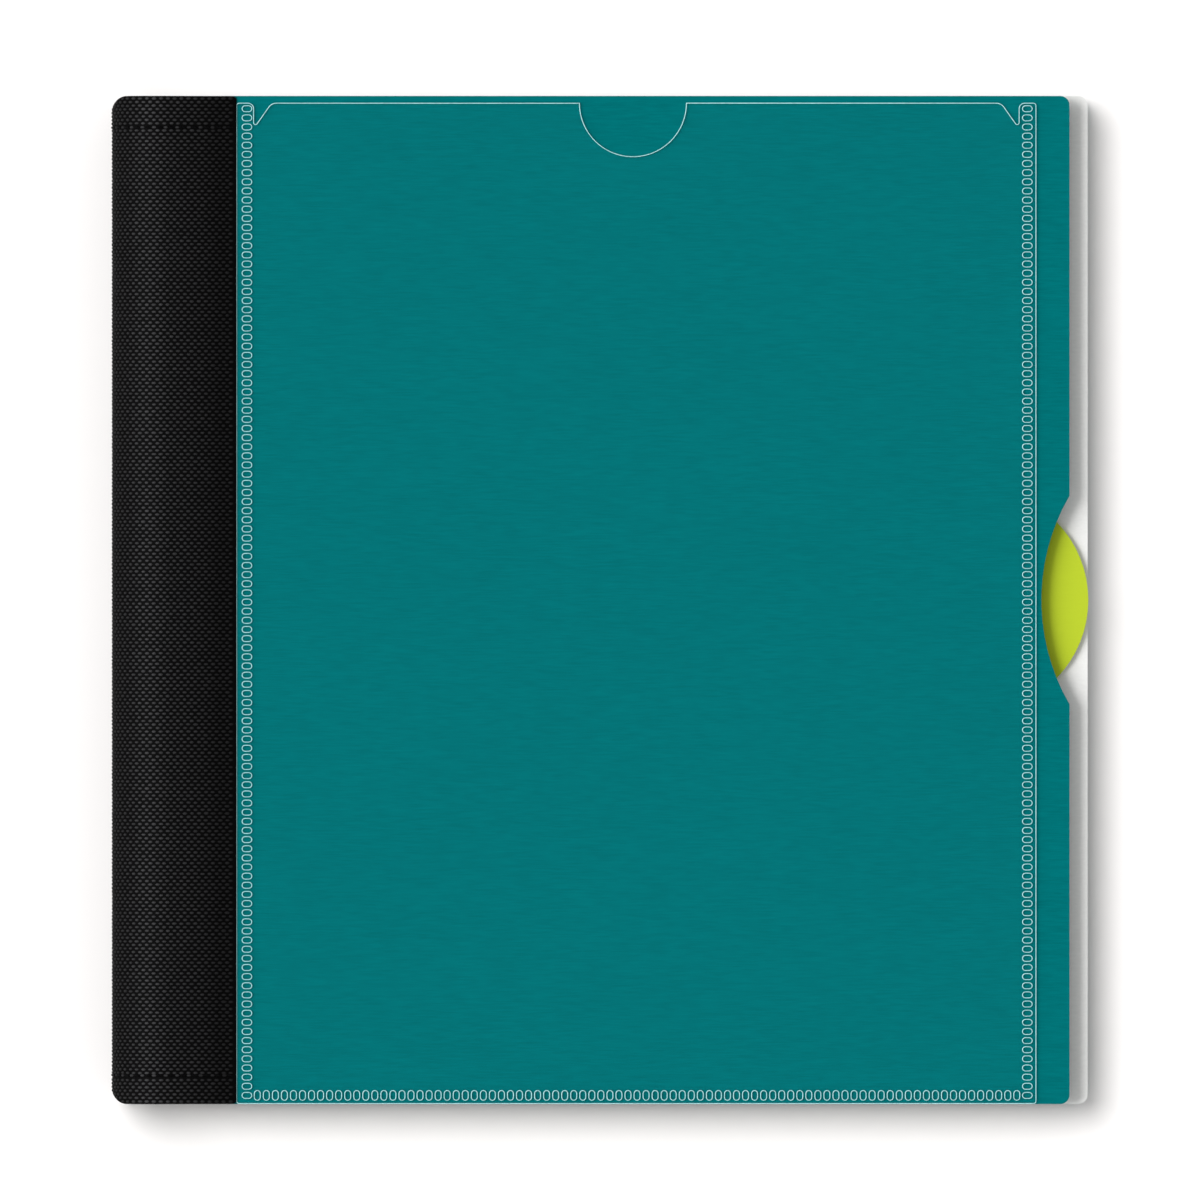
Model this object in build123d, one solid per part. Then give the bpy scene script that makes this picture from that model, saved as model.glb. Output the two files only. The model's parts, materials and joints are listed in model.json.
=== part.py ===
from build123d import *
import os
from math import cos, floor, radians, sin, sqrt

# Stamp album: poly covers and stock leaves on a twin-loop wire, with a woven sleeve over the wire,
# a clear welded pocket on the front cover and an index divider whose tab shows in the cover's notch.
#
# Frame: +X runs from the spine to the fore-edge, +Y from tail to head, +Z up out of the front cover.
# The origin is the middle of the footprint, on the surface that the closed album lies on.
# Every sheet turns about one line, the centre line of the wire loops, which runs along Y.
# All sizes are in millimetres.

# Overall size
album_width = 283.0  # outside of the sleeve to the tip of the index tab
album_height = 292.0  # tail to head

# Sheets
cover_thickness = 0.9
cover_corner_radius = 2.7
front_cover_inset = 5.5  # from the tab's tip back to the front cover's fore-edge
back_cover_inset = 0.4
inner_corner_radius = 2.0  # sheet corners beside the wire
sheet_gap = 0.42  # air between neighbouring sheets
cover_gap = 1.6  # air under the front cover, which lies loose on the tabbed divider
leaf_count = 10
card_thickness = 0.5
leaf_inset = 0.2  # from the tab's tip back to the fore-edge of a leaf at mid height
divider_thickness = 0.5
divider_inset = 15.5  # from the tab's tip back to the divider's straight fore-edge
tab_radius = 32.5
tab_root_radius = 3.0

# Stock strips on both sides of each leaf
strip_thickness = 0.2
strip_pitch = 34.5
strip_gap = 4.5  # bare card between two strips
strip_end_margin = 6.0  # bare card between the holes and a strip
strip_fore_margin = 14.5  # bare card between a strip and the fore-edge
strip_page_margin = 6.0  # least bare card at head and tail

# Thumb notch in the front cover's fore-edge
notch_radius = 60.0
notch_depth = 8.15

# Twin-loop wire
wire_diameter = 1.2
loop_reach = 1.6  # the wire's centre line stands this far outside half the stack
twin_spacing = 3.2  # between the two wires of one loop
wire_bend_radius = 1.2
hole_pitch = 12.7
hole_end_margin = 9.0  # least distance from a hole's centre to head or tail
hole_side_clearance = 0.5  # beside the wires, along Y
hole_play = 0.9  # at each side of the wire, along X
hole_web = 2.2  # sheet left between a hole and the edge inside the loops
base_angle = 250.0  # where the loops join, in degrees from +X towards +Z
tip_angle = -80.0  # where a loop ends, below the back cover

# Woven sleeve over the wire
fabric_thickness = 0.8
sleeve_clearance = 0.4  # between wire and sleeve
sleeve_front_width = 36.2  # outside of the sleeve to the fabric's edge on the cover
sleeve_flare_radius = 40.0  # hollow bend where the fabric comes down to the cover
sleeve_corner_radius = 4.0  # outer corners, seen from the front
band_corner_radius = 1.3
seat_depth = 0.3  # step in a cover's outer face that the fabric is bonded into
seat_clearance = 0.1

# Clear pocket on the front cover
film_thickness = 0.2
pocket_depth = 0.15  # room for a sheet between film and cover
film_spine_gap = 0.1  # between the fabric's edge and the film's
film_head_margin = 2.1
film_tail_margin = 0.15
film_fore_margin = 9.7
film_corner_radius = 0.7
weld_band = 4.87  # film that is welded down along both sides
weld_band_tail = 4.2
relief_depth = 6.2  # relief cut at the head end of each side weld
relief_root_width = 0.86
relief_mouth_width = 5.23
relief_root_radius = 0.55
relief_shoulder_radius = 1.6
relief_slope_radius = 2.6
thumb_cut_radius = 15.5
thumb_cut_offset = -1.0  # from the middle of the film, along X

# Derived places
leaf_thickness = card_thickness + 2 * strip_thickness
stack_height = (
    2 * cover_thickness
    + divider_thickness
    + leaf_count * leaf_thickness
    + (leaf_count + 1) * sheet_gap
    + cover_gap
)
half_stack = stack_height / 2
divider_low = half_stack - cover_thickness - cover_gap - divider_thickness
wire_radius = wire_diameter / 2
loop_radius = half_stack + loop_reach
sleeve_inner_radius = loop_radius + wire_radius + sleeve_clearance
sleeve_outer_radius = sleeve_inner_radius + fabric_thickness
album_right = album_width / 2
axis_x = -album_width / 2 + sleeve_outer_radius
axis_z = sleeve_outer_radius
head = album_height / 2
band_edge_x = -album_width / 2 + sleeve_front_width
front_cover_right = album_right - front_cover_inset
back_cover_right = album_right - back_cover_inset
leaf_right = album_right - leaf_inset  # the closed album is trimmed flush

# Every sheet is punched with one hole, long enough for the wire to cross the cover aslant.
cover_mid = half_stack - cover_thickness / 2
cross_sine = cover_mid / loop_radius
cross_cosine = sqrt(1 - cross_sine**2)
hole_length = (wire_diameter + cover_thickness * cross_sine) / cross_cosine + 2 * hole_play
hole_width = twin_spacing + wire_diameter + 2 * hole_side_clearance
hole_count = floor((album_height - 2 * hole_end_margin) / hole_pitch) + 1
first_hole_y = -(hole_count - 1) * hole_pitch / 2


def hole_line(height):
    """X of the holes of a sheet whose middle lies at this height from the wire's axis."""
    return axis_x + sqrt(loop_radius**2 - height**2)


def sheet_left(height):
    """X of a sheet's edge inside the loops."""
    return hole_line(height) - hole_length / 2 - hole_web


def sheet_outline(height, right):
    """A sheet's outline with its row of holes, as a sketch."""
    left = sheet_left(height)
    middle = ((left + right) / 2, 0)
    outline = Pos(*middle) * Rectangle(right - left, album_height)
    by_x = outline.vertices().group_by(Axis.X)
    outline = fillet(by_x[0], inner_corner_radius)
    outline = fillet(outline.vertices().group_by(Axis.X)[-1], cover_corner_radius)
    hole = Rectangle(hole_length, hole_width)
    row = GridLocations(hole_pitch, hole_pitch, 1, hole_count)
    return outline - Pos(hole_line(height), 0) * row * hole


def plate(outline, low, thickness):
    """A flat sheet whose lower face lies this far above the wire's axis."""
    return extrude(Pos(0, 0, axis_z + low) * outline, amount=thickness)


def fabric_seat(low):
    """The step that a cover's outer face has under the fabric."""
    reach = band_edge_x + seat_clearance
    width = reach + album_right
    place = Pos(reach - width / 2, 0, axis_z + low + seat_depth / 2)
    return place * Box(width, 2 * album_height, seat_depth)


def front_cover():
    """The front cover, with the thumb notch in its fore-edge."""
    low = half_stack - cover_thickness
    outline = sheet_outline(cover_mid, front_cover_right)
    notch_centre = front_cover_right - notch_depth + notch_radius
    outline -= Pos(notch_centre, 0) * Circle(notch_radius)
    return plate(outline, low, cover_thickness) - fabric_seat(half_stack - seat_depth)


def back_cover():
    """The back cover."""
    outline = sheet_outline(-cover_mid, back_cover_right)
    return plate(outline, -half_stack, cover_thickness) - fabric_seat(-half_stack)


def index_divider():
    """The divider next to the front cover, with a round tab at its fore-edge."""
    right = album_right - divider_inset
    outline = sheet_outline(divider_low + divider_thickness / 2, right)
    outline += Pos(album_right - tab_radius, 0) * Circle(tab_radius)
    rise = sqrt(tab_radius**2 - (tab_radius - divider_inset) ** 2)
    roots = [
        v
        for v in outline.vertices()
        if abs(v.X - right) < 0.01 and abs(abs(v.Y) - rise) < 0.01
    ]
    return plate(fillet(roots, tab_root_radius), divider_low, divider_thickness)


def leaf_low(index):
    """Lower face of a leaf's card. Leaf 0 lies next to the divider."""
    top = divider_low - sheet_gap
    return top - index * (leaf_thickness + sheet_gap) - strip_thickness - card_thickness


def leaf_card(index):
    """One leaf's punched card."""
    low = leaf_low(index)
    middle = low + card_thickness / 2
    outline = sheet_outline(middle, leaf_right)
    return plate(outline, low, card_thickness)


def leaf_strips(index, low):
    """The clear strips on one side of a leaf."""
    middle = leaf_low(index) + card_thickness / 2
    left = hole_line(middle) + hole_length / 2 + strip_end_margin
    right = leaf_right - strip_fore_margin
    rows = floor((album_height - 2 * strip_page_margin + strip_gap) / strip_pitch)
    strip = Box(right - left, strip_pitch - strip_gap, strip_thickness)
    centre = Pos((left + right) / 2, 0, axis_z + low + strip_thickness / 2)
    return [centre * place * strip for place in GridLocations(strip_pitch, strip_pitch, 1, rows)]


def loop_point(angle, y):
    """A point of the wire's centre line."""
    turn = radians(angle)
    return Vector(axis_x + loop_radius * cos(turn), y, axis_z + loop_radius * sin(turn))


def loop_tangent(angle):
    """The direction of rising angle round a loop."""
    turn = radians(angle)
    return Vector(-sin(turn), 0, cos(turn))


def loop_arc(start, end, y):
    """Two arcs that follow a loop from one angle to another."""
    half = (start + end) / 2
    pieces = [(start, half), (half, end)]
    return [
        ThreePointArc(loop_point(a, y), loop_point((a + b) / 2, y), loop_point(b, y))
        for a, b in pieces
    ]


def binding_wire():
    """One wire bent into twin loops, joined by straight runs below the back cover."""
    along = Vector(0, 1, 0)
    out = loop_tangent(base_angle)
    bend = wire_bend_radius
    slant = bend * sqrt(0.5)
    path = []
    for index in range(hole_count):
        centre = first_hole_y + index * hole_pitch
        near, far = centre - twin_spacing / 2, centre + twin_spacing / 2
        start, finish = loop_point(base_angle, near), loop_point(base_angle, far)
        if index > 0:
            run_end = start + out * bend - along * bend
            path.append(Line(run_start, run_end))
            path.append(
                ThreePointArc(run_end, start - along * bend + (out + along) * slant, start)
            )
        path += loop_arc(base_angle, tip_angle, near)
        tip = (loop_point(tip_angle, near) + loop_point(tip_angle, far)) * 0.5
        tip -= loop_tangent(tip_angle) * (twin_spacing / 2)  # the loop's round end
        path.append(ThreePointArc(loop_point(tip_angle, near), tip, loop_point(tip_angle, far)))
        path += loop_arc(tip_angle, base_angle, far)
        run_start = finish + out * bend + along * bend
        if index < hole_count - 1:
            path.append(
                ThreePointArc(finish, finish + along * bend + (out - along) * slant, run_start)
            )
    line = Wire([edge.edge() for edge in path])
    start_plane = Plane(origin=line.position_at(0), z_dir=line.tangent_at(0))
    return sweep(start_plane * Circle(wire_radius), path=line)


# The sleeve's section lies in XZ, round the wire's axis: a flat band on each cover, a hollow bend
# up from it, and an arc round the loops. The hollow bend's centre stands on the band side.
seat_height = half_stack - seat_depth
flare_z = seat_height + sleeve_flare_radius
flare_x = sqrt((sleeve_inner_radius + sleeve_flare_radius) ** 2 - flare_z**2)


def section_point(x, z, side):
    """A point of the sleeve's section. Side is 1 on the front and -1 on the back."""
    return (axis_x + x, 0, axis_z + side * z)


def flare_point(radius, share, side):
    """A point on the hollow bend: share 0 where it leaves the arc, 1 where it meets the band."""
    full = Vector(-flare_x, -flare_z)
    start = full.normalized()
    end = Vector(0, -1)
    if share == 0:
        direction = start
    elif share == 1:
        direction = end
    else:
        direction = (start + end).normalized()
    return section_point(
        flare_x + direction.X * radius, flare_z + direction.Y * radius, side
    )


def sleeve_side(side):
    """The fabric on one cover: the band and the hollow bend beside it."""
    inner, outer = sleeve_flare_radius, sleeve_flare_radius - fabric_thickness
    band_end = band_edge_x - axis_x
    edges = [
        ThreePointArc(*[flare_point(inner, share, side) for share in (0, 0.5, 1)]),
        Line(flare_point(inner, 1, side), section_point(band_end, seat_height, side)),
        Line(
            section_point(band_end, seat_height, side),
            section_point(band_end, seat_height + fabric_thickness, side),
        ),
        Line(
            section_point(band_end, seat_height + fabric_thickness, side),
            flare_point(outer, 1, side),
        ),
        ThreePointArc(*[flare_point(outer, share, side) for share in (1, 0.5, 0)]),
        Line(flare_point(outer, 0, side), flare_point(inner, 0, side)),
    ]
    section = make_face(Wire([edge.edge() for edge in edges]).edges())
    band = extrude(section, amount=head, dir=(0, 1, 0), both=True)
    corners = band.edges().filter_by(Axis.Z).group_by(Axis.X)[-1]
    return fillet(corners, band_corner_radius)


def round_points(radius):
    """Three points of the sleeve's round part, from the front cover's side to the back's."""
    share = radius / (sleeve_inner_radius + sleeve_flare_radius)
    return [
        section_point(flare_x * share, flare_z * share, 1),
        section_point(-radius, 0, 1),
        section_point(flare_x * share, flare_z * share, -1),
    ]


def sleeve_wrap():
    """The fabric round the wire, cut with rounded corners along the spine."""
    inner, outer = round_points(sleeve_inner_radius), round_points(sleeve_outer_radius)
    edges = [
        ThreePointArc(*inner),
        Line(inner[2], outer[2]),
        ThreePointArc(*outer[::-1]),
        Line(outer[0], inner[0]),
    ]
    section = make_face(Wire([edge.edge() for edge in edges]).edges())
    wrap = extrude(section, amount=head, dir=(0, 1, 0), both=True)
    width = 4 * sleeve_outer_radius
    trim = Pos(-album_width / 2 + width / 2, 0, axis_z) * Box(width, album_height, width)
    corners = trim.edges().filter_by(Axis.Z).group_by(Axis.X)[0]
    return wrap & fillet(corners, sleeve_corner_radius)


def pocket_film():
    """The clear pocket: welded down on three sides, open at the head, with a thumb cut."""
    left = band_edge_x + film_spine_gap
    right = front_cover_right - film_fore_margin
    top = head - film_head_margin
    bottom = -head + film_tail_margin
    low = top - relief_depth
    root = weld_band + relief_root_width
    mouth = weld_band + relief_mouth_width
    corners = [
        (left, bottom, film_corner_radius),
        (right, bottom, film_corner_radius),
        (right, top, film_corner_radius),
        (right - weld_band, top, relief_shoulder_radius),
        (right - weld_band, low, relief_root_radius),
        (right - root, low, relief_root_radius),
        (right - mouth, top, relief_slope_radius),
        (left + mouth, top, relief_slope_radius),
        (left + root, low, relief_root_radius),
        (left + weld_band, low, relief_root_radius),
        (left + weld_band, top, relief_shoulder_radius),
        (left, top, film_corner_radius),
    ]
    outline = make_face(
        FilletPolyline(
            *[(x, y) for x, y, _ in corners],
            radius=[radius for _, _, radius in corners],
            close=True,
        ).edges()
    )
    middle = (left + right) / 2 + thumb_cut_offset
    outline -= Pos(middle, top) * Circle(thumb_cut_radius)
    film = plate(outline, half_stack, pocket_depth + film_thickness)
    room_width = right - left - 2 * weld_band
    room_height = album_height
    room = Pos(
        (left + right) / 2,
        bottom + weld_band_tail + room_height / 2,
        axis_z + half_stack + pocket_depth / 2,
    ) * Box(room_width, room_height, pocket_depth)
    return film - room


def write(name, shape):
    """Writes one node to its STEP file."""
    shape = Compound(children=shape) if isinstance(shape, list) else shape
    export_step(shape, os.path.join("parts", name + ".step"))


os.makedirs("parts", exist_ok=True)
write("front_cover", front_cover())
write("back_cover", back_cover())
write("front_pocket_film", pocket_film())
write("index_divider", index_divider())
write("binding_wire", binding_wire())
write("spine_fabric_front", sleeve_side(1))
write("spine_fabric_back", sleeve_side(-1))
write("spine_fabric_wrap", sleeve_wrap())
for number in range(leaf_count):
    leaf = f"leaf_{number + 1:02d}"
    card_low = leaf_low(number)
    write(leaf + "_card", leaf_card(number))
    write(leaf + "_front_strips", leaf_strips(number, card_low + card_thickness))
    write(leaf + "_back_strips", leaf_strips(number, card_low - strip_thickness))
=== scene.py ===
"""Looks of a wire-bound stamp album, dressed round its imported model.

The album lies closed on its back cover. +X runs from the spine to the fore-edge, +Y from tail to
head, and +Z up out of the front cover. All lengths are in metres; the sizes of small things are
given as so many MM. Every sheet turns about the centre line of the wire loops.
"""

import json
import logging
import math
from dataclasses import dataclass, field
from enum import Enum

import bpy
import numpy as np
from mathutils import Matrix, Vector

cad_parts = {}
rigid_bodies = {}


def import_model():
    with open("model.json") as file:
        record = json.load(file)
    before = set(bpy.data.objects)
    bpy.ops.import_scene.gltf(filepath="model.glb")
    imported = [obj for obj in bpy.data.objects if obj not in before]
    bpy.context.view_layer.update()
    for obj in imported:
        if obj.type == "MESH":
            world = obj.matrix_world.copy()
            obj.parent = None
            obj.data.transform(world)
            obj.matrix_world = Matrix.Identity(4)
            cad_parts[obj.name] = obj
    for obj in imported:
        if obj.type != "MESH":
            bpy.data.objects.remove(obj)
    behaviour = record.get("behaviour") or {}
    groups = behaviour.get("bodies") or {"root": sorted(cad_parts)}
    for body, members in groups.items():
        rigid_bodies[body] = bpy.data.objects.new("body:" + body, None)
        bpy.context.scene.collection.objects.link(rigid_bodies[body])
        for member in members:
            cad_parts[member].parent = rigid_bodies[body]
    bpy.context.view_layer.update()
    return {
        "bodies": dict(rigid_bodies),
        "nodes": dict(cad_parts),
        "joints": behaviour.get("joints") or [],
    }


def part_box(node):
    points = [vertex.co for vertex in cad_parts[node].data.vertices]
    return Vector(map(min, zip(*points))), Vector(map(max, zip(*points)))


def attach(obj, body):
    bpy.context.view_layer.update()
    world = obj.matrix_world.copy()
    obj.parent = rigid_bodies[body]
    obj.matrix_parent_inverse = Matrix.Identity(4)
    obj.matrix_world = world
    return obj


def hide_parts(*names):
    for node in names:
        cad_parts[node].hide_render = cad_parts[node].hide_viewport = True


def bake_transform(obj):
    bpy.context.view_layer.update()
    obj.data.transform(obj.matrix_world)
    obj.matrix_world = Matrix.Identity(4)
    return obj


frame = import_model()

MM = 0.001
LOG = logging.getLogger("album")

Colour = tuple[float, float, float]
Direction = tuple[float, float, float]
Points = np.ndarray
Faces = list[tuple[int, ...]]


class Body(Enum):
    """Bodies of the frame that pieces ride on."""

    BACK = "root"
    FRONT = "front_cover"


class Side(Enum):
    """The two covers' sides of the sleeve, and of the album."""

    FRONT = 1
    BACK = -1

    @property
    def word(self) -> str:
        """The side's name as pieces use it."""
        return self.name.lower()


class End(Enum):
    """The two ends of the spine."""

    HEAD = 1
    TAIL = -1


class Slot(Enum):
    """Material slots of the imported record."""

    COVER = "cover_poly"
    FILM = "clear_film"
    DIVIDER = "divider_poly"
    WIRE = "wire"
    FABRIC = "woven_fabric"
    CARD = "leaf_card"
    STRIP = "strip_film"


# ---------------------------------------------------------------------------------------------
# Finishes


@dataclass(frozen=True)
class Grain:
    """Noise: cells per metre, octaves, and how many times finer it runs along X, Y and Z."""

    scale: float
    octaves: float
    stretch: Direction = (1.0, 1.0, 1.0)


class NodeTree:
    """Builds one material's nodes with short calls."""

    def __init__(self, name: str) -> None:
        """Starts a material with only an output node.

        Args:
            name: The material's name.
        """
        self.material = bpy.data.materials.new(name)
        self.material.use_nodes = True
        self.material.node_tree.nodes.clear()
        self.output = self.node("ShaderNodeOutputMaterial")

    def node(self, kind: str, settings: dict | None = None, **sockets: object) -> bpy.types.Node:
        """Adds a node.

        Args:
            kind: The node's type name.
            settings: Properties of the node, by name.
            **sockets: Input values or source sockets; an underscore stands for a blank.

        Returns:
            The new node.
        """
        made = self.material.node_tree.nodes.new(kind)
        for name, value in (settings or {}).items():
            setattr(made, name, value)
        for name, value in sockets.items():
            self.feed(made.inputs[name.replace("_", " ")], value)
        return made

    def feed(self, socket: bpy.types.NodeSocket, value: object) -> None:
        """Sets a socket's value, or links it to another node's output.

        Args:
            socket: The input to set.
            value: A plain value or an output socket.
        """
        if isinstance(value, bpy.types.NodeSocket):
            self.material.node_tree.links.new(value, socket)
        else:
            socket.default_value = value

    def grain(self, grain: Grain) -> bpy.types.NodeSocket:
        """Noise in the object's own space.

        Args:
            grain: The noise's sizes.

        Returns:
            The noise's grey output.
        """
        place = self.node("ShaderNodeTexCoord").outputs["Object"]
        mapped = self.node("ShaderNodeMapping", Vector=place, Scale=grain.stretch).outputs[0]
        noise = self.node("ShaderNodeTexNoise", Vector=mapped, Scale=grain.scale, Detail=grain.octaves)
        return noise.outputs["Fac"]

    def compute(self, operation: str, *values: object) -> bpy.types.NodeSocket:
        """Does one sum.

        Args:
            operation: The Math node's operation.
            *values: Its inputs in order, plain or from other nodes.

        Returns:
            The result.
        """
        made = self.node("ShaderNodeMath", {"operation": operation})
        for socket, value in zip(made.inputs, values):
            self.feed(socket, value)
        return made.outputs[0]

    def ramp(
        self, source: bpy.types.NodeSocket, levels: tuple[float, ...], *colours: Colour
    ) -> bpy.types.NodeSocket:
        """Maps a grey value to colours.

        Args:
            source: The grey value.
            levels: The grey level of each colour, in order.
            *colours: The colours.

        Returns:
            The colour output.
        """
        made = self.node("ShaderNodeValToRGB", Fac=source)
        for element, level, colour in zip(made.color_ramp.elements, levels, colours):
            element.position = level
            element.color = (*colour, 1.0)
        return made.outputs["Color"]

    def bump(self, height: bpy.types.NodeSocket, depth: float) -> bpy.types.NodeSocket:
        """Turns a grey height into a normal.

        Args:
            height: The grey value.
            depth: Height of a full step, in metres.

        Returns:
            The normal output.
        """
        return self.node("ShaderNodeBump", Strength=1.0, Distance=depth, Height=height).outputs["Normal"]

    def principled(self, **sockets: object) -> bpy.types.Material:
        """Ends the tree in one principled shader.

        Args:
            **sockets: The shader's inputs, as node() takes them.

        Returns:
            The finished material.
        """
        shader = self.node("ShaderNodeBsdfPrincipled", **sockets)
        self.feed(self.output.inputs["Surface"], shader.outputs[0])
        return self.material


def shade(colour: Colour, share: float) -> Colour:
    """A colour with its brightness changed by a share."""
    return tuple(min(1.0, channel * share) for channel in colour)


@dataclass(frozen=True)
class StreakedPoly:
    """Extruded poly sheet with fine streaks along X."""

    name: str
    colour: Colour
    contrast: float
    roughness: float = 0.3
    gloss: float = 0.08
    streaks: Grain = Grain(2600.0, 3.0, (0.07, 1.0, 1.0))
    streak_depth: float = 0.004 * MM
    clouds: Grain = Grain(38.0, 2.0, (0.5, 1.0, 1.0))
    cloud_share: float = 0.1
    levels: tuple[float, float] = (0.23, 0.83)

    def make(self) -> bpy.types.Material:
        """Builds the material."""
        tree = NodeTree(self.name)
        streaks = tree.grain(self.streaks)
        mixed = tree.compute("MULTIPLY_ADD", tree.grain(self.clouds), self.cloud_share, streaks)
        dark, light = shade(self.colour, 1 - self.contrast), shade(self.colour, 1 + self.contrast)
        return tree.principled(
            Base_Color=tree.ramp(mixed, self.levels, dark, light),
            Roughness=self.roughness,
            Specular_IOR_Level=self.gloss,
            Normal=tree.bump(streaks, self.streak_depth),
        )


@dataclass(frozen=True)
class ClearSheet:
    """Clear film: a faint veil with a gloss."""

    name: str
    tint: Colour
    cover: float
    roughness: float
    waviness: float = 0.02 * MM
    gloss: float = 0.3
    waves: Grain = Grain(55.0, 2.0, (1.0, 0.6, 1.0))
    dust: Grain = Grain(1500.0, 3.0)
    dust_shade: float = 0.94
    levels: tuple[float, float] = (0.3, 0.7)

    def make(self) -> bpy.types.Material:
        """Builds the material."""
        tree = NodeTree(self.name)
        dusty = shade(self.tint, self.dust_shade)
        return tree.principled(
            Base_Color=tree.ramp(tree.grain(self.dust), self.levels, dusty, self.tint),
            Roughness=self.roughness,
            Alpha=self.cover,
            Specular_IOR_Level=self.gloss,
            Normal=tree.bump(tree.grain(self.waves), self.waviness),
        )


@dataclass(frozen=True)
class MeltedFilm:
    """Film whitened where a hot die has pressed it; on the pocket's cut edge the same pale colour is a
    painted highlight.
    """

    name: str
    pale: Colour
    deep: Colour
    roughness: float = 0.35
    gloss: float = 0.3
    mottle: Grain = Grain(900.0, 3.0)
    levels: tuple[float, float] = (0.25, 0.6)
    pits: Grain = Grain(5000.0, 2.0)
    pit_depth: float = 0.01 * MM

    def make(self) -> bpy.types.Material:
        """Builds the material."""
        tree = NodeTree(self.name)
        return tree.principled(
            Base_Color=tree.ramp(tree.grain(self.mottle), self.levels, self.deep, self.pale),
            Roughness=self.roughness,
            Specular_IOR_Level=self.gloss,
            Normal=tree.bump(tree.grain(self.pits), self.pit_depth),
        )


@dataclass(frozen=True)
class WovenGround:
    """The sunk threads of a coarse black weave, between its floats, painted dark as painted shade between
    them and scaled by the painted light along the sleeve.
    """

    name: str = "woven_ground"
    dark: Colour = (0.0005, 0.0005, 0.0005)
    light: Colour = (0.0050, 0.0050, 0.0052)
    levels: tuple[float, float] = (0.05, 0.7)
    attribute: str = "wear"
    roughness: float = 0.92
    gloss: float = 0.08
    fibre: Grain = Grain(6000.0, 4.0, (1.0, 0.25, 1.0))
    fibre_depth: float = 0.05 * MM

    def make(self) -> bpy.types.Material:
        """Builds the material."""
        tree = NodeTree(self.name)
        # Painted light along the sleeve scales the ground's colour.
        wear = tree.node("ShaderNodeAttribute", {"attribute_name": self.attribute}).outputs["Fac"]
        fibre = tree.grain(self.fibre)
        level = tree.compute("MULTIPLY", fibre, wear)
        return tree.principled(
            Base_Color=tree.ramp(level, self.levels, self.dark, self.light),
            Roughness=self.roughness,
            Specular_IOR_Level=self.gloss,
            Normal=tree.bump(fibre, self.fibre_depth),
        )


@dataclass(frozen=True)
class WovenFloat:
    """The raised threads of the weave, with a painted highlight on their crowns, painted shade at their
    feet, and painted light along the sleeve that is brightest on the round of the spine.
    """

    name: str = "woven_float"
    dark: Colour = (0.002, 0.002, 0.0021)
    light: Colour = (0.044, 0.044, 0.046)
    attribute: str = "crown"
    roughness: float = 0.7
    gloss: float = 0.1
    fibre: Grain = Grain(9000.0, 3.0, (0.12, 1.0, 1.0))
    fibre_share: float = 0.24
    fibre_depth: float = 0.03 * MM

    def make(self) -> bpy.types.Material:
        """Builds the material."""
        tree = NodeTree(self.name)
        # Painted highlight on the floats' crowns, painted shade at their feet.
        crown = tree.node("ShaderNodeAttribute", {"attribute_name": self.attribute}).outputs["Fac"]
        fibre = tree.grain(self.fibre)
        mixed = tree.compute("MULTIPLY_ADD", fibre, self.fibre_share, crown)
        level = tree.compute("SUBTRACT", mixed, self.fibre_share / 2)
        return tree.principled(
            Base_Color=tree.ramp(level, (0.0, 1.0), self.dark, self.light),
            Roughness=self.roughness,
            Specular_IOR_Level=self.gloss,
            Normal=tree.bump(fibre, self.fibre_depth),
        )


@dataclass(frozen=True)
class SewingThread:
    """Black twisted thread, with a painted highlight on the crests of its twist."""

    name: str = "sewing_thread"
    colour: Colour = (0.0012, 0.0012, 0.0013)
    crest_highlight: float = 3.0
    levels: tuple[float, float] = (0.2, 0.9)
    roughness: float = 0.8
    gloss: float = 0.05
    twist_scale: float = 900.0
    twist_depth: float = 0.05 * MM

    def make(self) -> bpy.types.Material:
        """Builds the material."""
        tree = NodeTree(self.name)
        place = tree.node("ShaderNodeTexCoord").outputs["Object"]
        bands = {"bands_direction": "DIAGONAL"}
        twist = tree.node("ShaderNodeTexWave", bands, Vector=place, Scale=self.twist_scale).outputs["Fac"]
        # Painted highlight on the crests of the twist.
        return tree.principled(
            Base_Color=tree.ramp(twist, self.levels, self.colour, shade(self.colour, self.crest_highlight)),
            Roughness=self.roughness,
            Specular_IOR_Level=self.gloss,
            Normal=tree.bump(twist, self.twist_depth),
        )


@dataclass(frozen=True)
class GrainyCoat:
    """A plain surface with a fine grain in its colour and its relief."""

    name: str
    colour: Colour
    shades: tuple[float, float]
    grain: Grain
    roughness: float
    gloss: float
    levels: tuple[float, float] = (0.3, 0.7)
    depth: float = 0.01 * MM

    def make(self) -> bpy.types.Material:
        """Builds the material."""
        tree = NodeTree(self.name)
        grain = tree.grain(self.grain)
        dark, light = (shade(self.colour, share) for share in self.shades)
        return tree.principled(
            Base_Color=tree.ramp(grain, self.levels, dark, light),
            Roughness=self.roughness,
            Specular_IOR_Level=self.gloss,
            Normal=tree.bump(grain, self.depth),
        )


@dataclass(frozen=True)
class StudioPaper:
    """The pale floor."""

    name: str = "studio_paper"
    colour: Colour = (0.90, 0.882, 0.874)
    mottle: Grain = Grain(3.0, 1.0)
    mottle_shade: float = 0.997

    def make(self) -> bpy.types.Material:
        """Builds the material."""
        tree = NodeTree(self.name)
        dim = shade(self.colour, self.mottle_shade)
        colour = tree.ramp(tree.grain(self.mottle), (0.0, 1.0), self.colour, dim)
        return tree.principled(Base_Color=colour, Roughness=1.0, Specular_IOR_Level=0.0)


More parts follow.
